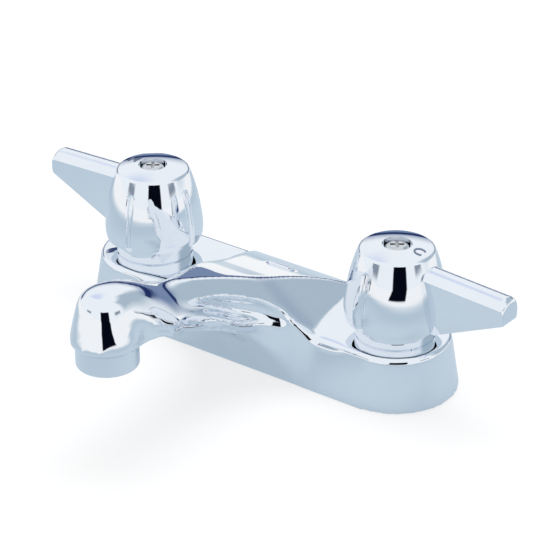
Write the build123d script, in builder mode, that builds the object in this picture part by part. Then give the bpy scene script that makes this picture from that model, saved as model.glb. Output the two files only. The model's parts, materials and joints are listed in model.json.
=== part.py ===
"""Two-handle centreset bathroom faucet with a short cast spout.

Millimetres, +Z up. The origin is the middle of the base's underside, on the counter. +X is the cold
(right) side and -Y is towards the user, the way the spout points.
"""
from build123d import *
import os
from math import atan2, cos, degrees, radians, sin, tan

os.makedirs("parts", exist_ok=True)

# Base casting
valve_spacing = 101.6
base_half_width = 21.8
base_height = 19.0
base_draft = 9.0
base_wall = 3.0
base_rim_radius = 1.4

# Water passages inside the casting
barrel_radius = 12.5
barrel_foot = 2.5
inlet_radius = 7.5
inlet_depth = 6.5
port_radius = 3.6
chamber_floor = 10.0
chamber_radius = 9.5
passage_height = 13.0
passage_radius = 3.2
passage_wall = 2.8
spout_bore_radius = 4.0
outlet_bend_rise = 10.5
waterway_bend = 12.0

# Bends of the waterway: share of the spout's reach, and rise above the cross passage
waterway_bends = [
    (0.23, 8.5),
    (0.58, 23.8),
]

# Spout and its nose, whose heights are measured from the base's top
nose_reach = 86.2
nose_rise = 37.6
nose_top_radius = 8.2
nose_bottom_rise = 18.5
nose_bottom_radius = 12.2
nose_crown_radius = 4.6
nose_foot_radius = 1.6
nose_cover = 0.4
neck_clearance = 3.0
skirt_half_width = 34.0
emblem_length = 10.5
emblem_width = 4.4
emblem_height = 0.35
emblem_x = 1.0
emblem_y = 4.5

# Hood stations: share of the neck from the base's front to the nose's axis, rise of the crown above the
# base, half width of the flat on it, fall of the flank and edge radius
hood_stations = [
    (-0.583, 0.1, 22.9, 37.0, 0.3),
    (-0.486, 2.9, 19.1, 37.0, 0.3),
    (-0.301, 8.2, 14.4, 37.0, 0.3),
    (-0.061, 14.0, 10.9, 37.0, 0.4),
    (0.110, 18.5, 9.5, 37.0, 0.5),
    (0.279, 22.1, 5.7, 36.5, 0.6),
    (0.404, 24.4, 2.9, 36.5, 0.8),
    (0.537, 27.0, 1.9, 41.0, 2.0),
    (0.671, 30.4, 2.8, 51.0, 4.0),
    (0.774, 33.8, 4.2, 62.5, 5.0),
    (0.878, 36.4, 6.2, 74.0, 5.0),
]

# Plan of the spout's sides at the nose's foot: half width, share of the neck, and draft of the side there
trumpet_stations = [
    (27.5, 0.039, 0.0),
    (21.5, 0.077, 0.0),
    (17.0, 0.140, 1.0),
    (14.2, 0.248, 4.0),
    (12.0, 0.381, 8.0),
    (10.7, 0.508, 11.0),
    (11.4, 0.641, 12.0),
    (13.8, 0.804, 12.0),
]

# Scoop below each edge of the hood: share of the neck, x, rise and radius of its round sections
scoop_stations = [
    (0.634, 9.6, 22.3, 0.9),
    (0.552, 10.0, 20.7, 2.1),
    (0.463, 10.9, 19.0, 3.1),
    (0.359, 12.2, 15.9, 3.7),
    (0.255, 14.2, 12.4, 4.1),
    (0.166, 17.0, 9.6, 3.9),
    (0.097, 20.6, 7.2, 3.3),
    (0.055, 23.4, 5.8, 2.2),
]

# Arch below the spout: shares of its reach from the base's foot to the nose, and of its height
arch_stations = [
    (0.035, 0.160),
    (0.157, 0.421),
    (0.330, 0.619),
    (0.579, 0.781),
    (0.808, 0.888),
]

# Aerator
aerator_radius = 10.1
aerator_drop = 7.5
aerator_lip = 1.5
aerator_rounding = 0.8
aerator_outlet_radius = 6.2
aerator_bore_radius = 7.0
spigot_radius = 8.6
spigot_length = 6.0
aerator_washer_thickness = 1.8
aerator_washer_hole = 5.5
screen_thickness = 0.9
mixer_slots = 10
mixer_wall = 1.2
mixer_slot_reach = 3.6
mixer_slot_length = 2.8
mixer_slot_width = 1.2

# Lever handle, whose flutes reach up a share of the hub's wall
hub_bottom = 25.1
hub_foot_radius = 16.7
hub_rim_radius = 12.5
hub_rim_height = 50.3
hub_rim_rounding = 1.4
hub_crown = 51.9
hub_wall = 2.4
hub_roof = 42.0
hub_boss_radius = 7.0
flute_angles = (98.0, 180.0, 262.0)
flute_end = 0.78
flute_lip_radius = 3.2
flute_lip_depth = 0.45
flute_core_radius = 1.1
flute_core_depth = 1.0
lever_length = 44.0
lever_half_width = 5.0
lever_crown = 2.8
lever_edge_height = 44.2
lever_droop = 2.6
lever_step = 0.5
blade_half_width = 4.5
blade_draft = 3.5
blade_foot = 24.6
blade_rise = 25.3
lever_end_radius = 2.2
lever_skew = -1.5
recess_radius = 4.95
recess_floor = 48.3

# Quarter-turn valve
fit_gap = 0.05
stem_radius = 4.5
stem_square = 6.2
stem_shoulder = 34.5
stem_top = 43.4
stem_flange_radius = 7.0
stem_flange_thickness = 1.4
disc_radius = 7.15
disc_thickness = 2.5
drive_key_width = 3.0
drive_key_depth = 0.9
disc_port_reach = 4.1
disc_port_width = 2.6
disc_port_sweep = 64.0
disc_notch_radius = 4.4
disc_clearance = 0.15
seal_thickness = 1.5
seat_seal_hole = 5.6
bonnet_shell = 1.2
bonnet_thread_bottom = 15.8
bonnet_window_width = 6.0
bonnet_window_height = 3.0
bonnet_neck_radius = 6.6
bonnet_neck_top = 32.8
bonnet_hex_width = 20.0
bonnet_hex_height = 5.0
bonnet_washer_thickness = 1.0
washer_clearance = 0.2
trim_ring_radius = 13.3
trim_ring_wall = 1.3
trim_ring_top = 27.6
trim_ring_flange = 1.2
trim_ring_chamfer = 0.5
o_ring_thickness = 1.4
o_ring_drop = 4.3
o_ring_groove_radius = 3.0
clip_thickness = 0.8
clip_groove_radius = 3.8
clip_radius = 6.2
clip_gap = 60.0

# Handle screw
screw_radius = 2.0
screw_clearance = 0.4
screw_head_radius = 4.4
screw_head_height = 3.1
screw_head_dome = 2.3
screw_length = 11.0
cross_turn = 37.5
cross_slot_width = 1.1
cross_slot_length = 4.6
cross_slot_depth = 1.5

# Bell curve of the hub's wall: radius and height
hub_curve = [
    (hub_foot_radius, hub_bottom),
    (17.1, 27.5),
    (16.7, 33.5),
    (15.4, 41.0),
    (hub_rim_radius, hub_rim_height),
]

# How far a cutter runs past what it cuts
overrun = 10.0

# Sizes that follow from the ones above
valve_x = valve_spacing / 2
base_top_half_width = base_half_width - base_height * tan(radians(base_draft))
neck_length = nose_reach - base_top_half_width
nose_top = base_height + nose_rise
nose_bottom = base_height + nose_bottom_rise
nose_lean = degrees(atan2(nose_bottom_radius - nose_top_radius, nose_top - nose_bottom))
outlet_bend_height = nose_bottom + outlet_bend_rise
aerator_bottom = nose_bottom - aerator_drop
arch_reach = nose_reach - nose_bottom_radius - base_half_width
cavity_roof = base_height - base_wall
disc_seat = chamber_floor + seal_thickness
disc_split = disc_seat + disc_thickness
flange_bottom = disc_split + disc_thickness
cartridge_roof = flange_bottom + stem_flange_thickness + fit_gap
bonnet_seat = base_height + trim_ring_flange + bonnet_washer_thickness
o_ring_height = bonnet_neck_top - o_ring_drop
clip_seat = bonnet_neck_top + 2 * fit_gap
clip_cut_x = 2 * clip_radius * cos(radians(clip_gap / 2))
clip_cut_y = 2 * clip_radius * sin(radians(clip_gap / 2))
bonnet_washer_radius = trim_ring_radius - trim_ring_wall - washer_clearance
nose_bore_radius = spigot_radius + fit_gap
washer_seat = nose_bottom + spigot_length + aerator_washer_thickness
mixer_height = spigot_length + nose_bottom - screen_thickness - aerator_bottom - aerator_lip
foot_up = (Align.CENTER, Align.CENTER, Align.MIN)
head_down = (Align.CENTER, Align.CENTER, Align.MAX)


def neck_y(share):
    """Turn a share of the neck into a place along the spout, which points to -Y."""
    return -base_top_half_width - share * neck_length


def hood_section(station):
    """Draw one cross section of the hood, with its crown, two flanks and a foot inside the base."""
    share, rise, half_width, fall, edge_radius = station
    top = base_height + rise
    flank_foot = base_height - base_wall
    foot_half_width = half_width + (top - flank_foot) / tan(radians(fall))
    with BuildSketch(Plane.XZ.offset(-neck_y(share))) as section:
        with BuildLine():
            Polyline(
                (-foot_half_width, -overrun),
                (-foot_half_width, flank_foot),
                (-half_width, top),
                (half_width, top),
                (foot_half_width, flank_foot),
                (foot_half_width, -overrun),
                close=True,
            )
        make_face()
        fillet(section.vertices().group_by(Axis.Y)[-1], radius=edge_radius)
    return section.sketch


def trumpet_plan(height):
    """Draw the outline of the spout's sides at a height, where they have drafted in from the nose's foot."""
    rise = height - nose_bottom
    side = [(x - rise * tan(radians(draft)), neck_y(share)) for x, share, draft in trumpet_stations]
    neck = nose_bottom_radius + neck_clearance - rise * tan(radians(nose_lean))
    with BuildSketch(Plane.XY.offset(height)) as plan:
        with BuildLine():
            Polyline(
                (0, -nose_reach),
                (0, base_top_half_width),
                (skirt_half_width, base_top_half_width),
                (skirt_half_width, -base_top_half_width),
            )
            Spline(
                (skirt_half_width, -base_top_half_width),
                *side,
                (neck, -nose_reach),
                tangents=((-1, -0.12), (0, -1)),
            )
            Line((neck, -nose_reach), (0, -nose_reach))
        make_face()
        mirror(about=Plane.YZ)
    return plan.sketch


# The hood's last section stands just inside the nose, whose wall leans a little more
nose_station = (
    1.0,
    nose_rise - nose_cover / 2,
    nose_top_radius - nose_cover,
    90 - nose_lean * 2 / 3,
    nose_crown_radius,
)

# Hood: the spearhead top face and its flanks, lofted along the spout inside its drafted sides
with BuildPart() as hood:
    loft([hood_section(station) for station in hood_stations + [nose_station]])
    with BuildPart(mode=Mode.PRIVATE) as trumpet:
        loft([trumpet_plan(-overrun / 2), trumpet_plan(nose_top + overrun)], ruled=True)
    add(trumpet.part, mode=Mode.INTERSECT)

# Nose: a round cone that carries the aerator
with BuildPart() as nose:
    with BuildSketch(Plane.YZ):
        with BuildLine():
            Polyline(
                (-nose_reach, nose_bottom),
                (-nose_reach - nose_bottom_radius, nose_bottom),
                (-nose_reach - nose_top_radius, nose_top),
                (-nose_reach, nose_top),
                close=True,
            )
        make_face()
    revolve(axis=Axis((0, -nose_reach, 0), (0, 0, 1)))
    fillet(nose.edges().group_by(Axis.Z)[-1], radius=nose_crown_radius)
    fillet(nose.edges().group_by(Axis.Z)[0], radius=nose_foot_radius)

# Side scoops below the hood's edge, lofted through round sections
with BuildPart() as side_scoops:
    scoop_sections = []
    for share, x, rise, radius in scoop_stations:
        middle = (x, neck_y(share), base_height + rise)
        with BuildSketch(Plane(middle, x_dir=(1, 0, 0), z_dir=(0, -1, 0))) as scoop_section:
            Circle(radius)
        scoop_sections.append(scoop_section.sketch)
    loft(scoop_sections)
    mirror(about=Plane.YZ)

# Waterway from the cross passage up through the spout
with BuildPart() as waterway:
    with BuildLine():
        waterway_path = FilletPolyline(
            (0, 0, passage_height),
            *[(0, -share * nose_reach, passage_height + rise) for share, rise in waterway_bends],
            (0, -nose_reach, outlet_bend_height),
            radius=waterway_bend,
        )
    with BuildSketch(Plane(waterway_path @ 0, z_dir=waterway_path % 0)):
        Circle(spout_bore_radius)
    sweep()

# Body: one casting of base, valve barrels, cross passage and spout
with BuildPart() as body:
    with BuildSketch(Plane.XY):
        SlotCenterToCenter(valve_spacing, 2 * base_half_width)
    extrude(amount=base_height, taper=base_draft)
    fillet(body.edges().group_by(Axis.Z)[-1], radius=base_rim_radius)
    add(hood.part)
    add(nose.part)
    with BuildSketch(Plane.YZ) as arch:
        with BuildLine():
            Spline(
                (-base_half_width, 0),
                *[(-base_half_width - along * arch_reach, up * nose_bottom) for along, up in arch_stations],
                (nose_bottom_radius - nose_reach, nose_bottom),
                tangents=((-0.2, 1), (-1, 0.5)),
            )
            Polyline(
                (nose_bottom_radius - nose_reach, nose_bottom),
                (-nose_reach - nose_bottom_radius - overrun, nose_bottom),
                (-nose_reach - nose_bottom_radius - overrun, -overrun),
                (-base_half_width, -overrun),
                (-base_half_width, 0),
            )
        make_face()
    extrude(amount=skirt_half_width + overrun, both=True, mode=Mode.SUBTRACT)
    with BuildSketch(Plane.XY):
        Rectangle(2 * valve_spacing, 2 * valve_spacing)
    extrude(amount=-nose_top, mode=Mode.SUBTRACT)
    add(side_scoops.part, mode=Mode.SUBTRACT)
    with BuildSketch(Plane.XY):
        SlotCenterToCenter(valve_spacing, 2 * (base_half_width - base_wall))
    extrude(amount=cavity_roof, taper=base_draft, mode=Mode.SUBTRACT)
    with BuildSketch(Plane.XY.offset(barrel_foot)):
        with Locations((-valve_x, 0), (valve_x, 0)):
            Circle(barrel_radius)
    extrude(amount=cavity_roof + base_wall / 2 - barrel_foot)
    with BuildSketch(Plane.YZ.offset(-valve_x)):
        with Locations((0, passage_height)):
            Circle(passage_radius + passage_wall)
    extrude(amount=valve_spacing)
    with BuildSketch(Plane(waterway_path @ 0, z_dir=waterway_path % 0)):
        Circle(spout_bore_radius + passage_wall)
    extrude(amount=base_half_width)
    with BuildSketch(Plane.YZ.offset(-valve_x)):
        with Locations((0, passage_height)):
            Circle(passage_radius)
    extrude(amount=valve_spacing, mode=Mode.SUBTRACT)
    add(waterway.part, mode=Mode.SUBTRACT)
    with Locations((-valve_x, 0, barrel_foot), (valve_x, 0, barrel_foot)):
        Cylinder(inlet_radius, inlet_depth, align=foot_up, mode=Mode.SUBTRACT)
        Cylinder(port_radius, base_height, align=foot_up, mode=Mode.SUBTRACT)
    with Locations((-valve_x, 0, chamber_floor), (valve_x, 0, chamber_floor)):
        Cylinder(chamber_radius, base_height, align=foot_up, mode=Mode.SUBTRACT)
    with Locations((0, -nose_reach, nose_bottom)):
        Cylinder(nose_bore_radius, washer_seat - nose_bottom, align=foot_up, mode=Mode.SUBTRACT)
        Cylinder(spout_bore_radius, outlet_bend_height - nose_bottom, align=foot_up, mode=Mode.SUBTRACT)
    emblem_hits = hood.part.find_intersection_points(Axis((emblem_x, emblem_y, 0), (0, 0, 1)))
    emblem_spot, emblem_normal = emblem_hits[-1]
    with BuildSketch(Plane(emblem_spot, x_dir=(1, 0, 0), z_dir=emblem_normal)):
        SlotOverall(emblem_length, emblem_width)
    extrude(amount=emblem_height, both=True)
body.part.label = "body"
export_step(body.part, "parts/body.step")

# Aerator housing: the ring at the outlet, with the spigot that screws into the nose
with BuildPart() as aerator_housing:
    with Locations((0, -nose_reach, aerator_bottom)):
        Cylinder(aerator_radius, nose_bottom - aerator_bottom, align=foot_up)
    fillet(aerator_housing.edges().group_by(Axis.Z)[0], radius=aerator_rounding)
    chamfer(aerator_housing.edges().group_by(Axis.Z)[-1], length=aerator_rounding / 2)
    with Locations((0, -nose_reach, nose_bottom)):
        Cylinder(spigot_radius, spigot_length, align=foot_up)
    with Locations((0, -nose_reach, aerator_bottom)):
        Cylinder(aerator_outlet_radius, aerator_lip, align=foot_up, mode=Mode.SUBTRACT)
    with Locations((0, -nose_reach, aerator_bottom + aerator_lip)):
        Cylinder(aerator_bore_radius, nose_bottom, align=foot_up, mode=Mode.SUBTRACT)
aerator_housing.part.label = "aerator_housing"
export_step(aerator_housing.part, "parts/aerator_housing.step")

# Mixer insert: a slotted cup that stands on the housing's lip
with BuildPart() as aerator_mixer:
    with Locations((0, -nose_reach, aerator_bottom + aerator_lip)):
        Cylinder(aerator_bore_radius - fit_gap, mixer_height, align=foot_up)
    with BuildSketch(Plane((0, -nose_reach, aerator_bottom + aerator_lip + mixer_height))):
        Circle(aerator_bore_radius - mixer_wall)
    extrude(amount=-mixer_height / 2, mode=Mode.SUBTRACT)
    with BuildSketch(Plane((0, -nose_reach, aerator_bottom + aerator_lip))):
        with PolarLocations(mixer_slot_reach, mixer_slots):
            SlotOverall(mixer_slot_length, mixer_slot_width)
    extrude(amount=mixer_height, mode=Mode.SUBTRACT)
aerator_mixer.part.label = "aerator_mixer"
export_step(aerator_mixer.part, "parts/aerator_mixer.step")

# Screen: a thin dome on top of the mixer
with BuildPart() as aerator_screen:
    with Locations((0, -nose_reach, nose_bottom + spigot_length - screen_thickness)):
        Cylinder(aerator_bore_radius - fit_gap, screen_thickness, align=foot_up)
aerator_screen.part.label = "aerator_screen"
export_step(aerator_screen.part, "parts/aerator_screen.step")

# Washer between the spigot and the seat in the nose
with BuildPart() as aerator_washer:
    with Locations((0, -nose_reach, nose_bottom + spigot_length)):
        Cylinder(spigot_radius - fit_gap, aerator_washer_thickness, align=foot_up)
        Cylinder(aerator_washer_hole, aerator_washer_thickness, align=foot_up, mode=Mode.SUBTRACT)
aerator_washer.part.label = "aerator_washer"
export_step(aerator_washer.part, "parts/aerator_washer.step")


def lever_section(reach):
    """Draw the lever's cross section at a distance from the valve's axis: a crowned bar on a thin blade."""
    edge = lever_edge_height - (reach - hub_foot_radius) * tan(radians(lever_droop))
    foot = blade_foot + (reach - hub_foot_radius) * tan(radians(blade_rise))
    shoulder = edge - lever_step
    foot_half_width = blade_half_width - (shoulder - foot) * tan(radians(blade_draft))
    with BuildSketch(Plane.YZ.offset(reach)) as section:
        with BuildLine():
            Polyline(
                (-lever_half_width, edge),
                (-blade_half_width, shoulder),
                (-foot_half_width, foot),
                (foot_half_width, foot),
                (blade_half_width, shoulder),
                (lever_half_width, edge),
            )
            ThreePointArc((lever_half_width, edge), (0, edge + lever_crown), (-lever_half_width, edge))
        make_face()
    return section.sketch


# Flute cutter: a shallow wide bar and a narrow deep one that follow the hub's wall and end in balls
with BuildPart() as flute:
    with BuildLine(mode=Mode.PRIVATE) as hub_line:
        Spline([(radius, 0, height) for radius, height in hub_curve])
    wall_points = [hub_line.line @ (flute_end * step / 4) for step in range(5)]
    for cutter_radius, depth in ((flute_lip_radius, flute_lip_depth), (flute_core_radius, flute_core_depth)):
        with BuildLine():
            flute_path = Spline([point + (cutter_radius - depth, 0, 0) for point in wall_points])
        with BuildSketch(Plane(flute_path @ 0, z_dir=flute_path % 0)):
            Circle(cutter_radius)
        sweep(path=flute_path)
        with Locations(flute_path @ 1):
            Sphere(cutter_radius)

# Handle: a fluted bell with its lever, cast as one piece and hollow below
with BuildPart() as handle:
    with BuildSketch(Plane.XZ):
        with BuildLine():
            Polyline((0, hub_crown), (0, hub_bottom), (hub_foot_radius, hub_bottom))
            Spline(hub_curve)
            crown_sag = (hub_crown - hub_rim_height) / 4
            ThreePointArc(
                (hub_rim_radius, hub_rim_height),
                (hub_rim_radius / 2, hub_crown - crown_sag),
                (0, hub_crown),
            )
        make_face()
    revolve(axis=Axis.Z)
    hub_rim = handle.edges().filter_by_position(Axis.Z, hub_rim_height - 0.1, hub_rim_height + 0.1)
    fillet(hub_rim, radius=hub_rim_rounding)
    for angle in flute_angles:
        with Locations(Location((0, 0, 0), (0, 0, angle))):
            add(flute.part, mode=Mode.SUBTRACT)
    loft([lever_section(hub_boss_radius), lever_section(lever_length)], ruled=True)
    lever_end = handle.faces().sort_by(Axis.X)[-1]
    fillet(lever_end.edges().filter_by(GeomType.CIRCLE), radius=lever_end_radius)
    with BuildSketch(Plane.XY.offset(hub_bottom)):
        Circle(2 * hub_foot_radius)
    extrude(amount=-hub_bottom, mode=Mode.SUBTRACT)
    with BuildSketch(Plane.XZ):
        with BuildLine():
            inner_curve = [(radius - hub_wall, height) for radius, height in hub_curve[:-1]]
            Spline(inner_curve)
            Polyline(
                inner_curve[-1],
                (inner_curve[-1][0] - 1, hub_roof),
                (0, hub_roof),
                (0, hub_bottom),
                inner_curve[0],
            )
        make_face()
    revolve(axis=Axis.Z, mode=Mode.SUBTRACT)
    with Locations((0, 0, stem_shoulder)):
        Cylinder(hub_boss_radius, hub_roof - stem_shoulder, align=foot_up)
    with BuildSketch(Plane.XY.offset(stem_shoulder)):
        Rectangle(stem_square + 2 * fit_gap, stem_square + 2 * fit_gap)
    extrude(amount=stem_top + fit_gap - stem_shoulder, mode=Mode.SUBTRACT)
    with Locations((0, 0, stem_top)):
        Cylinder(screw_radius + screw_clearance, hub_crown, align=foot_up, mode=Mode.SUBTRACT)
    with Locations((0, 0, recess_floor)):
        Cylinder(recess_radius, hub_crown, align=foot_up, mode=Mode.SUBTRACT)

# Screw that holds the handle on its stem: a domed head with a cross slot
with BuildPart() as handle_screw:
    with Locations((0, 0, recess_floor)):
        Cylinder(screw_head_radius, screw_head_height, align=foot_up)
    fillet(handle_screw.edges().group_by(Axis.Z)[-1], radius=screw_head_dome)
    with Locations((0, 0, recess_floor - screw_length)):
        Cylinder(screw_radius, screw_length, align=foot_up)
    with BuildSketch(Plane.XY.offset(recess_floor + screw_head_height)):
        Rectangle(cross_slot_length, cross_slot_width, rotation=cross_turn)
        Rectangle(cross_slot_width, cross_slot_length, rotation=cross_turn)
    extrude(amount=-cross_slot_depth, mode=Mode.SUBTRACT)

# Stem: drive key, flange, round shaft with two grooves and a square end for the handle
with BuildPart() as stem:
    with Locations((0, 0, flange_bottom)):
        Cylinder(stem_flange_radius, stem_flange_thickness, align=foot_up)
        Cylinder(stem_radius, stem_shoulder - flange_bottom, align=foot_up)
    with BuildSketch(Plane.XY.offset(flange_bottom)):
        Rectangle(drive_key_width, 2 * stem_flange_radius - drive_key_width)
    extrude(amount=-drive_key_depth)
    with BuildSketch(Plane.XY.offset(stem_shoulder)):
        Rectangle(stem_square, stem_square)
    extrude(amount=stem_top - stem_shoulder)
    with BuildSketch(Plane.XY.offset(o_ring_height - o_ring_thickness / 2 - fit_gap)):
        Circle(stem_radius)
        Circle(o_ring_groove_radius, mode=Mode.SUBTRACT)
    extrude(amount=o_ring_thickness + 2 * fit_gap, mode=Mode.SUBTRACT)
    with BuildSketch(Plane.XY.offset(clip_seat)):
        Circle(stem_radius)
        Circle(clip_groove_radius, mode=Mode.SUBTRACT)
    extrude(amount=clip_thickness, mode=Mode.SUBTRACT)
    with Locations((0, 0, recess_floor - screw_length - 1)):
        Cylinder(screw_radius + fit_gap, stem_top, align=foot_up, mode=Mode.SUBTRACT)

# O-ring on the stem
with BuildPart() as stem_seal:
    with Locations((0, 0, o_ring_height)):
        Torus(o_ring_groove_radius + fit_gap + o_ring_thickness / 2, o_ring_thickness / 2)

# Retaining clip: an open ring in the stem's upper groove, just above the bonnet
with BuildPart() as stem_clip:
    with BuildSketch(Plane.XY.offset(clip_seat)):
        Circle(clip_radius)
        Circle(clip_groove_radius + fit_gap, mode=Mode.SUBTRACT)
        with BuildLine():
            Polyline(
                (0, 0),
                (clip_cut_x, clip_cut_y),
                (clip_cut_x, -clip_cut_y),
                close=True,
            )
        make_face(mode=Mode.SUBTRACT)
    extrude(amount=clip_thickness)

# Fixed ceramic disc with two kidney ports
with BuildPart() as fixed_disc:
    with BuildSketch(Plane.XY.offset(disc_seat)):
        Circle(disc_radius)
        for middle in (90, 270):
            port_arc = CenterArc((0, 0), disc_port_reach, middle - disc_port_sweep / 2, disc_port_sweep)
            SlotArc(port_arc, disc_port_width, mode=Mode.SUBTRACT)
    extrude(amount=disc_thickness)

# Turning ceramic disc: two notches that uncover the ports, and a slot for the stem's key
with BuildPart() as turning_disc:
    with BuildSketch(Plane.XY.offset(disc_split)):
        Circle(disc_radius)
        with Locations((-disc_radius, 0), (disc_radius, 0)):
            Circle(disc_notch_radius, mode=Mode.SUBTRACT)
    extrude(amount=disc_thickness)
    with BuildSketch(Plane.XY.offset(flange_bottom)):
        Rectangle(drive_key_width + 2 * fit_gap, 3 * disc_radius)
    extrude(amount=-drive_key_depth - fit_gap, mode=Mode.SUBTRACT)

# Rubber ring between the fixed disc and the chamber's floor
with BuildPart() as seat_seal:
    with Locations((0, 0, chamber_floor)):
        Cylinder(disc_radius - fit_gap, seal_thickness, align=foot_up)
        Cylinder(seat_seal_hole, seal_thickness, align=foot_up, mode=Mode.SUBTRACT)

# Bonnet: shell around the discs, thread, hexagon and neck, bored for the stem
with BuildPart() as bonnet:
    with Locations((0, 0, disc_seat + fit_gap)):
        Cylinder(disc_radius + disc_clearance + bonnet_shell, bonnet_seat - disc_seat, align=foot_up)
    with Locations((0, 0, bonnet_thread_bottom)):
        Cylinder(chamber_radius - fit_gap, bonnet_seat - bonnet_thread_bottom, align=foot_up)
    with BuildSketch(Plane.XY.offset(bonnet_seat)):
        RegularPolygon(bonnet_hex_width / 2, 6, major_radius=False)
    extrude(amount=bonnet_hex_height)
    with Locations((0, 0, bonnet_seat)):
        Cylinder(bonnet_neck_radius, bonnet_neck_top - bonnet_seat, align=foot_up)
        Cylinder(stem_radius + fit_gap, bonnet_neck_top, mode=Mode.SUBTRACT)
    with Locations((0, 0, cartridge_roof)):
        Cylinder(disc_radius + disc_clearance, base_height, align=head_down, mode=Mode.SUBTRACT)
    with BuildSketch(Plane.XZ.offset(-base_half_width)):
        with Locations((0, disc_split)):
            Rectangle(bonnet_window_width, bonnet_window_height)
    extrude(amount=2 * base_half_width, mode=Mode.SUBTRACT)

# Fibre washer under the bonnet's hexagon
with BuildPart() as bonnet_washer:
    with Locations((0, 0, base_height + trim_ring_flange)):
        Cylinder(bonnet_washer_radius, bonnet_washer_thickness, align=foot_up)
        Cylinder(chamber_radius + fit_gap, bonnet_washer_thickness, align=foot_up, mode=Mode.SUBTRACT)

# Trim ring: a polished sleeve whose foot is clamped on the pad
with BuildPart() as trim_ring:
    with Locations((0, 0, base_height)):
        Cylinder(trim_ring_radius, trim_ring_top - base_height, align=foot_up)
    chamfer(trim_ring.edges().group_by(Axis.Z)[0], length=trim_ring_chamfer)
    with Locations((0, 0, base_height + trim_ring_flange)):
        Cylinder(trim_ring_radius - trim_ring_wall, trim_ring_top, align=foot_up, mode=Mode.SUBTRACT)
    with Locations((0, 0, base_height)):
        Cylinder(chamber_radius + fit_gap, trim_ring_top, align=foot_up, mode=Mode.SUBTRACT)

# Both valves are alike: the hot one is the cold one turned half a turn
valve_pieces = {
    "handle": handle,
    "handle_screw": handle_screw,
    "stem": stem,
    "stem_seal": stem_seal,
    "stem_clip": stem_clip,
    "turning_disc": turning_disc,
    "fixed_disc": fixed_disc,
    "seat_seal": seat_seal,
    "bonnet": bonnet,
    "bonnet_washer": bonnet_washer,
    "trim_ring": trim_ring,
}
valve_places = {
    "cold": Location((valve_x, 0, 0), (0, 0, lever_skew)),
    "hot": Location((-valve_x, 0, 0), (0, 0, lever_skew + 180)),
}
for side, place in valve_places.items():
    for piece_name, piece in valve_pieces.items():
        with BuildPart() as placed:
            with Locations(place):
                add(piece.part)
        placed.part.label = f"{side}_{piece_name}"
        export_step(placed.part, f"parts/{side}_{piece_name}.step")
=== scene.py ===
"""Looks of a chrome two-handle basin faucet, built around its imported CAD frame.

Everything is in metres and in the frame's own axes: +X is the cold side, -Y is the way that the spout
points, and +Z is up.
"""

import json
import logging
from dataclasses import dataclass
from enum import Enum
from math import cos, pi, radians, sin

import bmesh
import bpy
from mathutils import Matrix, Vector


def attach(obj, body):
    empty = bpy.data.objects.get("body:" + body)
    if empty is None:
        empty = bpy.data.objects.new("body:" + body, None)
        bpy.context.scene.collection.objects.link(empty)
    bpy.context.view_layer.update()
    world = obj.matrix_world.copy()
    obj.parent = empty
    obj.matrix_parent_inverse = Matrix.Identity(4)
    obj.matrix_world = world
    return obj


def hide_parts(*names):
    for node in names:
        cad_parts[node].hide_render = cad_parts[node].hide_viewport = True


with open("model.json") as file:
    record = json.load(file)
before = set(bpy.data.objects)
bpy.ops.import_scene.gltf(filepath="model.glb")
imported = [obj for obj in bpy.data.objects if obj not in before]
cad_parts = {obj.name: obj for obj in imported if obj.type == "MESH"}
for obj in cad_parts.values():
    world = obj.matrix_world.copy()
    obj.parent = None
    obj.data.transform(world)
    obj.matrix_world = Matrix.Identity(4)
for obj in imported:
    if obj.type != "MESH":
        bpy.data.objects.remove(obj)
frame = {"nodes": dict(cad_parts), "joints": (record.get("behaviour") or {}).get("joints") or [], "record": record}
log = logging.getLogger("faucet")

MERGE_DISTANCE = 1e-6
ALONG_X = Vector((1.0, 0.0, 0.0))
ALONG_Y = Vector((0.0, 1.0, 0.0))
ALONG_Z = Vector((0.0, 0.0, 1.0))
WHITE = (1.0, 1.0, 1.0)

Triple = tuple[float, float, float]
Span = tuple[float, float]


def add_object(name: str, data: bpy.types.ID) -> bpy.types.Object:
    """Make an object from its data and link it into the scene.

    Args:
        name: The object's name.
        data: Its mesh, curve, camera or light.

    Returns:
        The new object, which stands at the origin.
    """
    thing = bpy.data.objects.new(name, data)
    bpy.context.scene.collection.objects.link(thing)
    return thing


def applied_mesh(thing: bpy.types.Object) -> bpy.types.Mesh:
    """Return an object's shape as a new mesh, with its modifiers applied.

    Args:
        thing: An object of the scene, with a mesh, a curve or text in it.

    Returns:
        The mesh, which no object holds yet.
    """
    bpy.context.view_layer.update()
    graph = bpy.context.evaluated_depsgraph_get()
    return bpy.data.meshes.new_from_object(thing.evaluated_get(graph))


class Side(Enum):
    """The two valves by the water that they carry."""

    COLD = "cold"
    HOT = "hot"

    @property
    def way(self) -> float:
        """Return 1 on the cold side, which is towards +X, and -1 on the hot side."""
        return 1.0 if self is Side.COLD else -1.0

    @property
    def axis_place(self) -> float:
        """Return where the valve's axis stands along X, from the frame's joint."""
        name = f"{self.value}_turn"
        return next(joint["pos_m"][0] for joint in frame["joints"] if joint["name"] == name)


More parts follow.
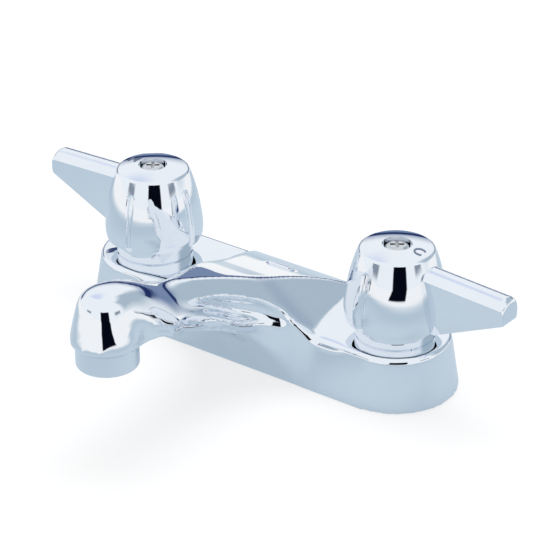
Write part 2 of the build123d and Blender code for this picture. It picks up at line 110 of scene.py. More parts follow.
class NodeWriter:
    """Adds nodes to a node tree and links their inputs in one call.

    Attributes:
        FIRST_COLOUR: Number of a Mix node's input for its first colour.
        SECOND_COLOUR: Number of its input for the second colour.
        MIXED_COLOUR: Number of its output for the mixed colour.
    """

    FIRST_COLOUR = 6
    SECOND_COLOUR = 7
    MIXED_COLOUR = 2

    def __init__(self, tree: bpy.types.NodeTree) -> None:
        """Keep the tree that the nodes go into."""
        self.tree = tree

    @classmethod
    def emptied(cls, owner: bpy.types.ID) -> "NodeWriter":
        """Return a writer for the emptied node tree of a material or a world.

        Args:
            owner: The material or the world.

        Returns:
            The writer.
        """
        owner.use_nodes = True
        owner.node_tree.nodes.clear()
        return cls(owner.node_tree)

    def add(self, kind: str, settings: dict | None = None, inputs: dict | None = None) -> bpy.types.Node:
        """Add one node.

        Args:
            kind: The node's type name in Blender.
            settings: Properties of the node, by name.
            inputs: Values or output sockets for its inputs, by socket name or number. A colour is given as
                three values.

        Returns:
            The new node.
        """
        node = self.tree.nodes.new(kind)
        for name, value in (settings or {}).items():
            setattr(node, name, value)
        for key, value in (inputs or {}).items():
            socket = node.inputs[key]
            if isinstance(value, bpy.types.NodeSocket):
                self.tree.links.new(value, socket)
            elif socket.type == "RGBA":
                socket.default_value = (*value, 1.0)
            else:
                socket.default_value = value
        return node

    def math(self, operation: str, *values: object) -> bpy.types.NodeSocket:
        """Add a Math node and return its output."""
        return self.add("ShaderNodeMath", {"operation": operation}, dict(enumerate(values))).outputs[0]

    def vector(self, operation: str, *values: object) -> bpy.types.Node:
        """Add a Vector Math node and return it."""
        return self.add("ShaderNodeVectorMath", {"operation": operation}, dict(enumerate(values)))

    def dot(self, first: object, second: object) -> bpy.types.NodeSocket:
        """Add a dot product of two vectors and return it."""
        return self.vector("DOT_PRODUCT", first, second).outputs["Value"]

    def ramp(self, value: object, low: float, high: float) -> bpy.types.NodeSocket:
        """Add a smooth step.

        Args:
            value: What the step reads.
            low: Where the step is 0.
            high: Where the step is 1. It may be under low.

        Returns:
            The step's output.
        """
        settings = {"interpolation_type": "SMOOTHSTEP", "clamp": True}
        inputs = {"Value": value, "From Min": low, "From Max": high}
        return self.add("ShaderNodeMapRange", settings, inputs).outputs["Result"]

    def blend(self, factor: object, first: object, second: object) -> bpy.types.NodeSocket:
        """Mix two colours by the second one's share and return the mixed colour."""
        inputs = {"Factor": factor, self.FIRST_COLOUR: first, self.SECOND_COLOUR: second}
        return self.add("ShaderNodeMix", {"data_type": "RGBA"}, inputs).outputs[self.MIXED_COLOUR]

    def choose(self, factor: object, first: bpy.types.Node, second: bpy.types.Node) -> bpy.types.Node:
        """Mix two shaders by a factor and return the mixing node."""
        inputs = {0: factor, 1: first.outputs[0], 2: second.outputs[0]}
        return self.add("ShaderNodeMixShader", inputs=inputs)


@dataclass(frozen=True)
class StudioCard:
    """A patch of the studio that the chrome mirrors, by its direction from the object.

    Attributes:
        azimuth: Degrees from the front, positive towards the cold side.
        elevation: Degrees above the horizon.
        half_width: Half its width in degrees.
        half_height: Half its height in degrees.
        softness: Width of its soft edge in degrees.
        colour: Its linear colour.
        strength: How much of it covers what lies behind it.
    """

    azimuth: float
    elevation: float
    half_width: float
    half_height: float
    softness: float
    colour: Triple
    strength: float = 1.0

    def sector(self, nodes: NodeWriter, direction: bpy.types.NodeSocket) -> bpy.types.NodeSocket:
        """Mask the directions within the card's width, at any height.

        Args:
            nodes: Writer of the tree that the mask goes into.
            direction: The direction that is looked in.

        Returns:
            The mask.
        """
        azimuth = radians(self.azimuth)
        forward = Vector((sin(azimuth), -cos(azimuth), 0.0))
        side = Vector((cos(azimuth), sin(azimuth), 0.0))
        turn = nodes.math("ARCTAN2", nodes.dot(direction, side), nodes.dot(direction, forward))
        edge, soft = radians(self.half_width), radians(self.softness)
        return nodes.ramp(nodes.math("ABSOLUTE", turn), edge + soft, edge - soft)

    def paint(
        self, nodes: NodeWriter, direction: bpy.types.NodeSocket, under: object
    ) -> bpy.types.NodeSocket:
        """Paint the card over a colour.

        Args:
            nodes: Writer of the world's node tree.
            direction: The direction that is looked in.
            under: The colour that it covers.

        Returns:
            The colour with the card on it.
        """
        height = nodes.math("ARCSINE", nodes.dot(direction, ALONG_Z))
        above = nodes.math("ABSOLUTE", nodes.math("SUBTRACT", height, radians(self.elevation)))
        edge, soft = radians(self.half_height), radians(self.softness)
        within = nodes.ramp(above, edge + soft, edge - soft)
        mask = nodes.math("MULTIPLY", self.sector(nodes, direction), within)
        return nodes.blend(nodes.math("MULTIPLY", mask, self.strength), under, self.colour)


@dataclass
class Studio:
    """White sweep, soft lamp, the cards that the chrome mirrors, and the photograph's camera.

    Attributes:
        azimuth: The camera's direction in degrees, from the front towards the cold side.
        elevation: Its height above the horizon in degrees.
        distance: Its distance from the frame's origin.
        aim_right: How far to the right of the origin the picture's middle lies.
        aim_up: How far above the origin the picture's middle lies.
        frame_pixels: Width of the photograph.
        focal_pixels: Focal length in the photograph's pixels.
        sensor_width: Width of the camera's sensor, in millimetres.
        near_clip: Nearest distance that the camera sees.
        floor_size: Width of the floor.
        floor_drop: How far the floor lies below the object.
        paper: Colour of the floor's paper.
        paper_hidden: How much plain white stands for the paper before the camera.
        near_floor_shade: Painted shade: the darker tone that the chrome mirrors from the floor close to the
            object, where the object shades it.
        far_floor: What the chrome mirrors further out.
        floor_fade: Distances over which the painted shade close to the object goes over into the far floor.
        dark_floor: Distances over which the black card's sector darkens the floor.
        mirror_share: How much painted floor stands for the lit paper in the chrome, close by.
        mirror_gain: How much more it does further out.
        mirror_fade: Distances over which that share grows.
        sky_colour: What the chrome mirrors above the horizon, between the cards.
        fill_strength: Strength of the light from all sides.
        lamp_place: Where the lamp hangs.
        lamp_size: Length and width of the lamp.
        lamp_energy: Power of the lamp, in watts.
        black_card: The card that reaches down onto the floor.
        cards: The other cards, from the first that is painted to the last.
    """

    azimuth: float = 36.2
    elevation: float = 28.09
    distance: float = 0.8153
    aim_right: float = 0.00306
    aim_up: float = 0.01959
    frame_pixels: float = 560.0
    focal_pixels: float = 2361.2
    sensor_width: float = 36.0
    near_clip: float = 0.01
    floor_size: float = 6.0
    floor_drop: float = 0.00015
    paper: Triple = (0.93, 0.94, 0.96)
    paper_hidden: float = 0.7
    # Painted shade of the floor close to the object, as the chrome mirrors it.
    near_floor_shade: Triple = (0.44, 0.56, 0.66)
    far_floor: Triple = WHITE
    floor_fade: Span = (0.19, 0.30)
    dark_floor: Span = (0.30, 0.38)
    mirror_share: float = 0.75
    mirror_gain: float = 0.25
    mirror_fade: Span = (0.05, 0.30)
    sky_colour: Triple = (0.94, 0.97, 1.0)
    fill_strength: float = 0.75
    lamp_place: Triple = (-0.15, 0.25, 0.9)
    lamp_size: Span = (0.9, 0.6)
    lamp_energy: float = 6.0
    black_card: StudioCard = StudioCard(42.0, 2.0, 17.0, 16.0, 1.5, (0.002, 0.003, 0.008))
    cards: tuple[StudioCard, ...] = (
        StudioCard(150.0, 30.0, 34.0, 24.0, 10.0, (0.36, 0.47, 0.56), 0.85),
        StudioCard(-121.0, 54.0, 15.0, 12.0, 9.0, (0.60, 0.68, 0.92), 0.7),
        StudioCard(-144.0, 2.0, 46.0, 12.0, 9.0, (0.12, 0.19, 0.36), 0.9),
        StudioCard(-144.0, 8.0, 46.0, 2.6, 1.2, (0.006, 0.02, 0.11), 0.95),
        StudioCard(-25.0, 7.0, 10.0, 4.0, 3.0, (0.10, 0.15, 0.22), 0.8),
        StudioCard(93.0, 9.0, 10.0, 4.0, 3.0, (0.10, 0.15, 0.22), 0.8),
    )

    def build(self) -> None:
        """Make the camera, the floor, the world and the lamp."""
        self.place_camera()
        self.lay_floor()
        self.light_world()
        self.hang_lamp()
        bpy.context.scene.view_settings.view_transform = "Standard"

    def place_camera(self) -> None:
        """Set the scene's camera where the photograph was taken from."""
        azimuth, elevation = radians(self.azimuth), radians(self.elevation)
        back = Vector((sin(azimuth) * cos(elevation), -cos(azimuth) * cos(elevation), sin(elevation)))
        right = Vector((cos(azimuth), sin(azimuth), 0.0))
        upward = back.cross(right)
        data = bpy.data.cameras.new("photo_camera")
        data.sensor_width = self.sensor_width
        data.lens = self.focal_pixels / self.frame_pixels * self.sensor_width
        data.clip_start = self.near_clip
        camera = add_object("photo_camera", data)
        place = back * self.distance + right * self.aim_right + upward * self.aim_up
        turn = Matrix((right, upward, back)).transposed().to_4x4()
        camera.matrix_world = Matrix.Translation(place) @ turn
        bpy.context.scene.camera = camera

    def lay_floor(self) -> None:
        """Lay the pale floor that the faucet stands on."""
        bpy.ops.mesh.primitive_plane_add(size=self.floor_size, location=(0, 0, -self.floor_drop))
        floor = bpy.context.object
        floor.name = "floor"
        floor.data.materials.append(self.floor_paper())

    def floor_paper(self) -> bpy.types.Material:
        """Make the floor's paper, which is white to the camera and painted to the chrome, with painted shade close
        to the object.

        Returns:
            The paper's material.
        """
        material = bpy.data.materials.new("floor_paper")
        nodes = NodeWriter.emptied(material)
        path = nodes.add("ShaderNodeLightPath")
        paper = nodes.add("ShaderNodeBsdfDiffuse", inputs={"Color": self.paper})
        seen = nodes.add("ShaderNodeEmission", inputs={"Color": WHITE, "Strength": 1.0})
        place = nodes.add("ShaderNodeTexCoord").outputs["Object"]
        radius = nodes.vector("LENGTH", place).outputs["Value"]
        # Painted shade: what the chrome mirrors of the floor is darker close to the object and goes over into
        # white further out.
        tone = nodes.blend(nodes.ramp(radius, *self.floor_fade), self.near_floor_shade, self.far_floor)
        far_enough = nodes.ramp(radius, *self.dark_floor)
        dark = nodes.math("MULTIPLY", self.black_card.sector(nodes, place), far_enough)
        tone = nodes.blend(dark, tone, self.black_card.colour)
        mirrored = nodes.add("ShaderNodeEmission", inputs={"Color": tone, "Strength": 1.0})
        by_camera = nodes.math("MULTIPLY", path.outputs["Is Camera Ray"], self.paper_hidden)
        growth = nodes.math("MULTIPLY", nodes.ramp(radius, *self.mirror_fade), self.mirror_gain)
        share = nodes.math("ADD", growth, self.mirror_share)
        by_mirror = nodes.math("MULTIPLY", path.outputs["Is Glossy Ray"], share)
        shown = nodes.choose(by_mirror, nodes.choose(by_camera, paper, seen), mirrored)
        nodes.add("ShaderNodeOutputMaterial", inputs={"Surface": shown.outputs[0]})
        return material

    def light_world(self) -> None:
        """Make the world: white to the camera, and a studio of cards to the chrome."""
        world = bpy.data.worlds.new("studio")
        bpy.context.scene.world = world
        nodes = NodeWriter.emptied(world)
        direction = nodes.add("ShaderNodeTexCoord").outputs["Generated"]
        path = nodes.add("ShaderNodeLightPath")
        colour: object = self.sky_colour
        for card in (*self.cards, self.black_card):
            colour = card.paint(nodes, direction, colour)
        studio = nodes.add("ShaderNodeBackground", inputs={"Color": colour, "Strength": 1.0})
        fill = nodes.add("ShaderNodeBackground", inputs={"Color": WHITE, "Strength": self.fill_strength})
        seen = nodes.add("ShaderNodeBackground", inputs={"Color": WHITE, "Strength": 1.0})
        lit = nodes.choose(path.outputs["Is Glossy Ray"], fill, studio)
        shown = nodes.choose(path.outputs["Is Camera Ray"], lit, seen)
        nodes.add("ShaderNodeOutputWorld", inputs={"Surface": shown.outputs[0]})

    def hang_lamp(self) -> None:
        """Hang one large soft lamp above the object, which the chrome doesn't mirror."""
        data = bpy.data.lights.new("overhead", "AREA")
        data.shape = "RECTANGLE"
        data.size, data.size_y = self.lamp_size
        data.energy = self.lamp_energy
        lamp = add_object("overhead", data)
        lamp.location = self.lamp_place
        lamp.visible_glossy = False
        lamp.rotation_euler = (-Vector(self.lamp_place)).to_track_quat("-Z", "Y").to_euler()


class HandlingGroup:
    """The marks that handling leaves on every piece: soft smudges, rubbed lines and a wandering tone.

    Attributes:
        NAME: The node group's name.
        INPUTS: Its inputs and their kinds.
        OUTPUTS: Its outputs, which are all values.
        SMUDGE_LEVELS: Noise at which a smudge starts and is full.
        RUBBED_LEVELS: Noise at which a rubbed line starts and is full.
        TONE_LEVELS: Noise at which the tone is lowest and highest.
        LINES_PER_SMUDGE: How much finer the lines are than the smudges.
        SMUDGE_DETAIL: Finer layers of the smudges' noise.
        SMUDGE_DISTORTION: How much the smudges' noise is bent.
        LINE_DETAIL: Finer layers of the lines' noise.
        GRAIN_DETAIL: Finer layers of the grain's noise.
    """

    NAME = "handling_marks"
    INPUTS = {"Vector": "NodeSocketVector", "Scale": "NodeSocketFloat", "Stretch": "NodeSocketVector"}
    OUTPUTS = ("Smudge", "Rubbed", "Tone", "Relief")
    SMUDGE_LEVELS = (0.42, 0.72)
    RUBBED_LEVELS = (0.58, 0.72)
    TONE_LEVELS = (0.25, 0.75)
    LINES_PER_SMUDGE = 6.0
    SMUDGE_DETAIL = 5.0
    SMUDGE_DISTORTION = 0.4
    LINE_DETAIL = 3.0
    GRAIN_DETAIL = 6.0

    @classmethod
    def tree(cls) -> bpy.types.NodeTree:
        """Make the shared node group, once.

        Returns:
            The group's node tree.
        """
        known = bpy.data.node_groups.get(cls.NAME)
        if known is not None:
            return known
        tree = bpy.data.node_groups.new(cls.NAME, "ShaderNodeTree")
        for name, kind in cls.INPUTS.items():
            tree.interface.new_socket(name=name, in_out="INPUT", socket_type=kind)
        for name in cls.OUTPUTS:
            tree.interface.new_socket(name=name, in_out="OUTPUT", socket_type="NodeSocketFloat")
        nodes = NodeWriter(tree)
        entry = nodes.add("NodeGroupInput")
        place, scale = entry.outputs["Vector"], entry.outputs["Scale"]
        drawn = nodes.vector("MULTIPLY", place, entry.outputs["Stretch"]).outputs[0]
        fine = nodes.math("MULTIPLY", scale, cls.LINES_PER_SMUDGE)
        wide = cls.noise(nodes, place, scale, cls.SMUDGE_DETAIL, cls.SMUDGE_DISTORTION)
        lines = cls.noise(nodes, drawn, fine, cls.LINE_DETAIL)
        results = {
            "Smudge": nodes.ramp(wide, *cls.SMUDGE_LEVELS),
            "Rubbed": nodes.ramp(lines, *cls.RUBBED_LEVELS),
            "Tone": nodes.ramp(wide, *cls.TONE_LEVELS),
            "Relief": cls.noise(nodes, drawn, scale, cls.GRAIN_DETAIL),
        }
        nodes.add("NodeGroupOutput", inputs=results)
        return tree

    @staticmethod
    def noise(
        nodes: NodeWriter,
        place: bpy.types.NodeSocket,
        scale: bpy.types.NodeSocket,
        detail: float,
        distortion: float = 0.0,
    ) -> bpy.types.NodeSocket:
        """Add a noise with so many cells per metre and finer layers, and return its value."""
        inputs = {"Vector": place, "Scale": scale, "Detail": detail, "Distortion": distortion}
        return nodes.add("ShaderNodeTexNoise", inputs=inputs).outputs["Fac"]


@dataclass(frozen=True)
class Finish:
    """A surface finish with its own small variations.

    Attributes:
        name: The material's name.
        colour: Linear base colour.
        metallic: 1 for metal and 0 for anything else.
        roughness: Roughness of the clean surface.
        smudge: How much rougher the smudges are.
        rubbed: How much rougher the fine rubbed lines are.
        scale: Size of the marks, in cells per metre.
        stretch: How much the lines are packed along X, Y and Z.
        relief: Height of the surface's grain.
        colour_spread: How much the colour wanders.
        coat: Weight of a clear gloss on top.
        coat_roughness: Roughness of that gloss.
    """

    name: str
    colour: Triple
    metallic: float
    roughness: float
    smudge: float
    rubbed: float
    scale: float
    stretch: Triple = (1.0, 1.0, 1.0)
    relief: float = 0.0
    colour_spread: float = 0.0
    coat: float = 0.0
    coat_roughness: float = 0.08

    def material(self) -> bpy.types.Material:
        """Make the finish as a node material, once.

        Returns:
            The material.
        """
        known = bpy.data.materials.get(self.name)
        if known is not None:
            return known
        material = bpy.data.materials.new(self.name)
        nodes = NodeWriter.emptied(material)
        marks = self.marks(nodes)
        low = tuple(max(0.0, value * (1 - self.colour_spread)) for value in self.colour)
        high = tuple(min(1.0, value * (1 + self.colour_spread)) for value in self.colour)
        base = nodes.blend(marks.outputs["Tone"], low, high)
        smudged = nodes.math("MULTIPLY_ADD", marks.outputs["Smudge"], self.smudge, self.roughness)
        rough = nodes.math("MULTIPLY_ADD", marks.outputs["Rubbed"], self.rubbed, smudged)
        inputs = {"Base Color": base, "Roughness": rough, "Metallic": self.metallic}
        if self.coat:
            inputs |= {"Coat Weight": self.coat, "Coat Roughness": self.coat_roughness}
        if self.relief:
            grain = {"Height": self.height(nodes, marks), "Strength": 1.0, "Distance": self.relief}
            inputs["Normal"] = nodes.add("ShaderNodeBump", inputs=grain).outputs["Normal"]
        shader = nodes.add("ShaderNodeBsdfPrincipled", inputs=inputs)
        nodes.add("ShaderNodeOutputMaterial", inputs={"Surface": shader.outputs[0]})
        return material

    def marks(self, nodes: NodeWriter) -> bpy.types.Node:
        """Place the shared handling marks with this finish's own values.

        Args:
            nodes: Writer of the material's tree.

        Returns:
            The group's node.
        """
        place = nodes.add("ShaderNodeTexCoord").outputs["Object"]
        settings = {"node_tree": HandlingGroup.tree()}
        inputs = {"Vector": place, "Scale": self.scale, "Stretch": self.stretch}
        return nodes.add("ShaderNodeGroup", settings, inputs)

    def height(self, nodes: NodeWriter, marks: bpy.types.Node) -> bpy.types.NodeSocket:
        """Return the height of the surface's grain."""
        return marks.outputs["Relief"]


@dataclass(frozen=True)
class TurnedFinish(Finish):
    """A finish from the lathe, with fine rings one above the other.

    Attributes:
        pitch: Distance from ring to ring.
        depth: How much the rings count beside the grain.
    """

    pitch: float = 0.0003
    depth: float = 0.35

    def height(self, nodes: NodeWriter, marks: bpy.types.Node) -> bpy.types.NodeSocket:
        """Return the height of the tool's rings, broken up a little by the grain.

        Args:
            nodes: Writer of the material's tree.
            marks: The handling marks' node.

        Returns:
            The height.
        """
        place = nodes.add("ShaderNodeTexCoord").outputs["Object"]
        rise = nodes.math("MULTIPLY", nodes.dot(place, ALONG_Z), 2.0 * pi / self.pitch)
        return nodes.math("MULTIPLY_ADD", nodes.math("SINE", rise), self.depth, marks.outputs["Relief"])


@dataclass(frozen=True)
class WovenFinish(Finish):
    """Fine wire cloth: wires that cross each other with dark holes between.

    Attributes:
        pitch: Distance from wire to wire.
    """

    pitch: float = 0.0007

    def height(self, nodes: NodeWriter, marks: bpy.types.Node) -> bpy.types.NodeSocket:
        """Return the height of the woven wires.

        Args:
            nodes: Writer of the material's tree.
            marks: The handling marks' node, which the wires don't need.

        Returns:
            The height.
        """
        place = nodes.add("ShaderNodeTexCoord").outputs["Object"]
        along = nodes.math("MULTIPLY", nodes.dot(place, ALONG_X), pi / self.pitch)
        across = nodes.math("MULTIPLY", nodes.dot(place, ALONG_Y), pi / self.pitch)
        warp = nodes.math("ABSOLUTE", nodes.math("SINE", along))
        weft = nodes.math("ABSOLUTE", nodes.math("SINE", across))
        return nodes.math("MAXIMUM", warp, weft)


CHROME = Finish(
    "polished_chrome", (0.85, 0.88, 0.92), metallic=1.0, roughness=0.012, smudge=0.018, rubbed=0.010,
    scale=60.0, stretch=(1.0, 1.0, 0.2), colour_spread=0.012,
)
RING_CHROME = Finish(
    "turned_chrome", (0.84, 0.87, 0.91), metallic=1.0, roughness=0.020, smudge=0.020, rubbed=0.030,
    scale=90.0, stretch=(0.1, 0.1, 6.0), colour_spread=0.012,
)
LETTER_CHROME = Finish(
    "etched_chrome", (0.22, 0.27, 0.36), metallic=1.0, roughness=0.34, smudge=0.10, rubbed=0.10,
    scale=400.0, relief=0.00002, colour_spread=0.10,
)
STEEL = Finish(
    "bright_steel", (0.66, 0.67, 0.69), metallic=1.0, roughness=0.10, smudge=0.10, rubbed=0.12,
    scale=700.0, stretch=(1.0, 1.0, 8.0), relief=0.000004, colour_spread=0.05,
)
SPRING = Finish(
    "spring_steel", (0.42, 0.43, 0.45), metallic=1.0, roughness=0.26, smudge=0.08, rubbed=0.12,
    scale=900.0, stretch=(6.0, 1.0, 1.0), relief=0.000006, colour_spread=0.06,
)
SCREEN = WovenFinish(
    "wire_cloth", (0.60, 0.62, 0.64), metallic=1.0, roughness=0.25, smudge=0.10, rubbed=0.10,
    scale=900.0, relief=0.00025, colour_spread=0.06,
)
BRASS = TurnedFinish(
    "turned_brass", (0.72, 0.52, 0.24), metallic=1.0, roughness=0.20, smudge=0.10, rubbed=0.10,
    scale=500.0, stretch=(1.0, 1.0, 10.0), relief=0.00003, colour_spread=0.08,
)
RUBBER = Finish(
    "black_rubber", (0.022, 0.022, 0.024), metallic=0.0, roughness=0.58, smudge=0.14, rubbed=0.12,
    scale=1500.0, relief=0.00003, colour_spread=0.2,
)
CERAMIC = Finish(
    "lapped_ceramic", (0.84, 0.82, 0.77), metallic=0.0, roughness=0.16, smudge=0.08, rubbed=0.14,
    scale=1200.0, relief=0.000004, colour_spread=0.03, coat=0.3,
)
FIBRE = Finish(
    "pressed_fibre", (0.26, 0.06, 0.04), metallic=0.0, roughness=0.72, smudge=0.12, rubbed=0.10,
    scale=2500.0, relief=0.00006, colour_spread=0.3,
)
PLASTIC = Finish(
    "moulded_plastic", (0.80, 0.82, 0.84), metallic=0.0, roughness=0.28, smudge=0.12, rubbed=0.10,
    scale=600.0, relief=0.00001, colour_spread=0.02,
)

SLOT_FINISH = {
    "chrome_body": CHROME,
    "chrome_handle": CHROME,
    "chrome_trim": RING_CHROME,
    "steel_screw": STEEL,
    "steel_clip": SPRING,
    "steel_screen": SCREEN,
    "brass_valve": BRASS,
    "black_rubber": RUBBER,
    "ceramic": CERAMIC,
    "fibre": FIBRE,
    "white_plastic": PLASTIC,
}


@dataclass(frozen=True)
class SoftenedPlace:
    """A place on the casting where hand polishing has run its faces into each other.

    Attributes:
        name: Name of the place.
        low: Lowest corner of the place.
        high: Highest corner of the place.
        fade: Width of the margin over which the softening dies away.
        passes: How many times the surface is evened out.
    """

    name: str
    low: Triple
    high: Triple
    fade: float
    passes: int

    def on_both_sides(self) -> tuple["SoftenedPlace", "SoftenedPlace"]:
        """Return the place on the cold side and its mirror image on the hot side.

        Returns:
            The two places, each named after its side.
        """
        (near, *low), (far, *high) = self.low, self.high
        cold = SoftenedPlace(f"cold_{self.name}", self.low, self.high, self.fade, self.passes)
        hot = SoftenedPlace(f"hot_{self.name}", (-far, *low), (-near, *high), self.fade, self.passes)
        return cold, hot

    def weight(self, point: Vector) -> float:
        """Tell how much a point takes part.

        Args:
            point: A point of the casting's surface.

        Returns:
            0 outside the place, 1 inside it, and between them in its margin.
        """
        share = 1.0
        for value, low, high in zip(point, self.low, self.high):
            share = min(share, (value - low) / self.fade, (high - value) / self.fade)
        return max(0.0, share)


@dataclass(frozen=True)
class NeckRing:
    """One cross section of the metal that fills the neck out to the nose.

    Attributes:
        place: Where it stands along the spout.
        crown: Half width of its flat top.
        top: Height of its top.
        shoulder: Half width at its shoulder.
        shoulder_height: Height of its shoulder.
        side: Half width of its side.
        side_height: Height at which its side starts.
        foot: Height of its underside.
    """

    place: float
    crown: float
    top: float
    shoulder: float
    shoulder_height: float
    side: float
    side_height: float
    foot: float

    def edges(self, mesh: bmesh.types.BMesh) -> list[bmesh.types.BMEdge]:
        """Add the ring to a mesh.

        Args:
            mesh: The mesh that the ring goes into.

        Returns:
            The ring's edges.
        """
        half = (
            (self.side, self.foot),
            (self.side, self.side_height),
            (self.shoulder, self.shoulder_height),
            (self.crown, self.top),
        )
        outline = [*half, *[(-x, z) for x, z in reversed(half)]]
        verts = [mesh.verts.new((x, self.place, z)) for x, z in outline]
        return [mesh.edges.new((vert, after)) for vert, after in zip(verts, verts[1:] + verts[:1])]


@dataclass
class Casting:
    """The body as it leaves the polishing wheel: the same casting with its faces run into each other.

    Attributes:
        places: The places that are softened more than the rest.
        neck_rings: Cross sections of the neck, from the hood to the nose.
        grid: Mesh width of its skin.
        evenness: How far one pass evens the skin out, from 0 to 1.
        edge_passes: How many passes round its edges everywhere.
    """

    places: tuple[SoftenedPlace, ...] = (
        SoftenedPlace("neck", (-0.020, -0.0960, 0.0375), (0.020, -0.0520, 0.0620), 0.006, 150),
        SoftenedPlace("nose", (-0.020, -0.1040, 0.0450), (0.020, -0.0780, 0.0620), 0.004, 45),
        SoftenedPlace("neck_foot", (-0.020, -0.0730, 0.0300), (0.020, -0.0480, 0.0470), 0.004, 40),
        *SoftenedPlace(
            "valley", (0.010, -0.0500, 0.0015), (0.044, -0.0145, 0.0235), 0.005, 90
        ).on_both_sides(),
        *SoftenedPlace(
            "scoop", (0.005, -0.0660, 0.0180), (0.030, -0.0160, 0.0440), 0.003, 14
        ).on_both_sides(),
    )
    neck_rings: tuple[NeckRing, ...] = (
        NeckRing(-0.0585, 0.0015, 0.0460, 0.0050, 0.0425, 0.0072, 0.0410, 0.0345),
        NeckRing(-0.0640, 0.0028, 0.0495, 0.0074, 0.0452, 0.0123, 0.0385, 0.0342),
        NeckRing(-0.0710, 0.0038, 0.0527, 0.0082, 0.0484, 0.0124, 0.0405, 0.0366),
        NeckRing(-0.0768, 0.0048, 0.0550, 0.0086, 0.0513, 0.0122, 0.0425, 0.0383),
        NeckRing(-0.0840, 0.0050, 0.0563, 0.0084, 0.0532, 0.0098, 0.0480, 0.0470),
    )
    grid: float = 0.00070
    evenness: float = 0.5
    edge_passes: int = 9

    def build(self) -> None:
        """Make the casting from the body's node and let it stand for that node."""
        piece = add_object("polished_casting", self.filled_copy())
        self.lay_grid(piece)
        for place in self.places:
            self.soften(piece, place)
        edges = piece.modifiers.new("edges", "SMOOTH")
        edges.factor = self.evenness
        edges.iterations = self.edge_passes
        self.apply_modifiers(piece)
        piece.vertex_groups.clear()
        piece.data.materials.clear()
        piece.data.materials.append(CHROME.material())
        for face in piece.data.polygons:
            face.use_smooth = True
        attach(piece, "faucet_body")
        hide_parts("body")
        log.info("built %s with %d faces", piece.name, len(piece.data.polygons))

    def filled_copy(self) -> bpy.types.Mesh:
        """Copy the body's mesh, merge its loose triangles and fill its neck.

        Returns:
            The new mesh.
        """
        data = frame["nodes"]["body"].data.copy()
        mesh = bmesh.new()
        mesh.from_mesh(data)
        bmesh.ops.remove_doubles(mesh, verts=mesh.verts, dist=MERGE_DISTANCE)
        self.fill_neck(mesh)
        mesh.to_mesh(data)
        mesh.free()
        return data

    def fill_neck(self, mesh: bmesh.types.BMesh) -> None:
        """Add the metal of the neck as a closed bar that overlaps the casting.

        Args:
            mesh: The casting's mesh.
        """
        rings = [ring.edges(mesh) for ring in self.neck_rings]
        faces = []
        for ring, after in zip(rings, rings[1:]):
            faces += bmesh.ops.bridge_loops(mesh, edges=ring + after)["faces"]
        for ring in (rings[0], rings[-1]):
            faces += bmesh.ops.contextual_create(mesh, geom=ring)["faces"]
        bmesh.ops.recalc_face_normals(mesh, faces=faces)

    def lay_grid(self, piece: bpy.types.Object) -> None:
        """Rebuild the casting's skin on an even grid, so that the neck becomes one with it.

        Args:
            piece: The casting.
        """
        remesh = piece.modifiers.new("even_grid", "REMESH")
        remesh.mode = "VOXEL"
        remesh.voxel_size = self.grid
        remesh.adaptivity = 0.0
        self.apply_modifiers(piece)

    def soften(self, piece: bpy.types.Object, place: SoftenedPlace) -> None:
        """Give the casting a modifier that evens out one place.

        Args:
            piece: The casting.
            place: The place to even out.
        """
        group = piece.vertex_groups.new(name=place.name)
        for vert in piece.data.vertices:
            weight = place.weight(vert.co)
            if weight > 0.0:
                group.add([vert.index], weight, "REPLACE")
        smooth = piece.modifiers.new(place.name, "SMOOTH")
        smooth.factor = self.evenness
        smooth.iterations = place.passes
        smooth.vertex_group = place.name

    @staticmethod
    def apply_modifiers(piece: bpy.types.Object) -> None:
        """Make a piece's modifiers part of its mesh."""
        piece.data = applied_mesh(piece)
        piece.modifiers.clear()


@dataclass
class IndexLetter:
    """The letter on top of a handle that tells which water it turns on.

    Attributes:
        side: The valve that it belongs to.
        reach: How far it stands from the valve's axis, towards the lever.
        height: Height of the dome below it.
        tilt: Fall of the dome there, in degrees.
        type_size: Size of the type, which is 1.4 times the height of a capital.
        depth: Half the thickness of the letter.
        edge: Width of its bevelled edge.
        curve_steps: Straight pieces in each of its curves.
    """

    side: Side
    reach: float = 0.0083
    height: float = 0.05122
    tilt: float = 9.8
    type_size: float = 0.0056
    depth: float = 0.00012
    edge: float = 0.00003
    curve_steps: int = 6

    def build(self) -> None:
        """Make the letter and set it into the handle's dome."""
        data = self.flat_letter()
        outward = self.side.axis_place + self.side.way * self.reach
        turn = Matrix.Rotation(radians(self.side.way * self.tilt), 4, "Y")
        data.transform(Matrix.Translation((outward, 0.0, self.height)) @ turn)
        data.materials.clear()
        data.materials.append(LETTER_CHROME.material())
        piece = add_object(f"{self.side.value}_index_letter", data)
        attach(piece, f"{self.side.value}_valve")
        log.info("built %s", piece.name)

    def flat_letter(self) -> bpy.types.Mesh:
        """Make the first letter of the side's name, flat and at the origin.

        Returns:
            The letter's mesh.
        """
        curve = bpy.data.curves.new(f"{self.side.value}_letter_outline", "FONT")
        curve.body = self.side.name[0]
        curve.size = self.type_size
        curve.align_x = "CENTER"
        curve.align_y = "CENTER"
        curve.extrude = self.depth
        curve.bevel_depth = self.edge
        curve.resolution_u = self.curve_steps
        outline = add_object("letter_outline", curve)
        data = applied_mesh(outline)
        bpy.data.objects.remove(outline)
        return data


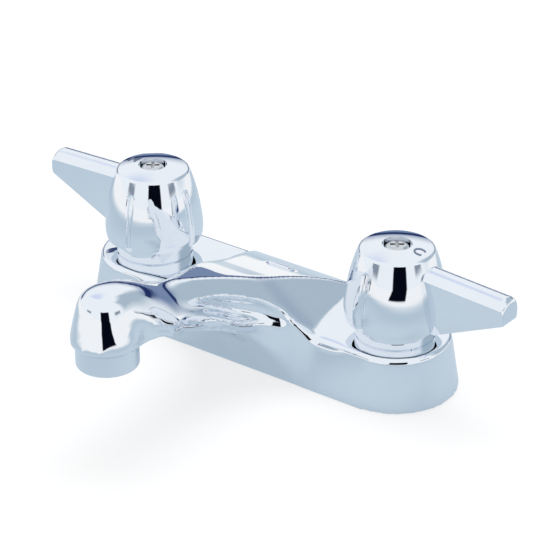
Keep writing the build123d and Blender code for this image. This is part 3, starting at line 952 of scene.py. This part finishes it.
@dataclass
class EmblemPad:
    """The small bare pad that stands on the hood behind the spearhead.

    Attributes:
        half_length: Half its length along X.
        half_width: Half its width.
        thickness: Its thickness.
        edge: Size of the round edge on its top.
        edge_steps: Straight pieces in that edge.
        outline_steps: Straight pieces in its outline.
        place: Middle of its underside.
        lean: How far it leans back with the hood, in degrees.
        sharp_angle: Edges over this angle in degrees stay sharp.
    """

    half_length: float = 0.00525
    half_width: float = 0.0022
    thickness: float = 0.0007
    edge: float = 0.00025
    edge_steps: int = 4
    outline_steps: int = 48
    place: Triple = (0.0010, 0.0045, 0.02618)
    lean: float = -20.9
    sharp_angle: float = 50.0

    def build(self) -> None:
        """Make the pad and let it ride on the casting."""
        data = self.leaning_pad()
        for face in data.polygons:
            face.use_smooth = True
        data.set_sharp_from_angle(angle=radians(self.sharp_angle))
        data.materials.append(CHROME.material())
        piece = add_object("emblem_pad", data)
        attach(piece, "faucet_body")
        log.info("built %s", piece.name)

    def leaning_pad(self) -> bpy.types.Mesh:
        """Make the pad's shape where it stands, leaning with the hood.

        Returns:
            The pad's mesh.
        """
        mesh = bmesh.new()
        ring = bmesh.ops.create_circle(
            mesh, cap_ends=True, segments=self.outline_steps, radius=self.half_width
        )["verts"]
        stretch = self.half_length - self.half_width
        for vert in ring:
            vert.co.x += stretch if vert.co.x > 0 else -stretch
        risen = bmesh.ops.extrude_face_region(mesh, geom=list(mesh.faces))["geom"]
        top = [item for item in risen if isinstance(item, bmesh.types.BMVert)]
        bmesh.ops.translate(mesh, verts=top, vec=(0.0, 0.0, self.thickness))
        rim = [edge for edge in mesh.edges if all(vert in top for vert in edge.verts)]
        bmesh.ops.bevel(
            mesh, geom=rim, affect="EDGES", offset=self.edge, segments=self.edge_steps,
            profile=0.5, material=-1,
        )
        bmesh.ops.recalc_face_normals(mesh, faces=mesh.faces)
        turn = Matrix.Translation(self.place) @ Matrix.Rotation(radians(self.lean), 4, "X")
        bmesh.ops.transform(mesh, matrix=turn, verts=mesh.verts)
        data = bpy.data.meshes.new("emblem_pad")
        mesh.to_mesh(data)
        mesh.free()
        return data


def dress_nodes() -> None:
    """Give every CAD node the finish of its material slot."""
    for part in frame["record"]["subparts"]:
        node = frame["nodes"][part["node"]]
        node.data.materials.clear()
        node.data.materials.append(SLOT_FINISH[part["material_slot"]].material())
        log.info("dressed %s", part["node"])


def main() -> None:
    """Build the studio, dress the frame and add the pieces that the frame leaves to the looks."""
    logging.basicConfig(level=logging.INFO, format="%(message)s", force=True)
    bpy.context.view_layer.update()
    Studio().build()
    dress_nodes()
    Casting().build()
    EmblemPad().build()
    for side in Side:
        IndexLetter(side).build()


if __name__ == "__main__":
    main()
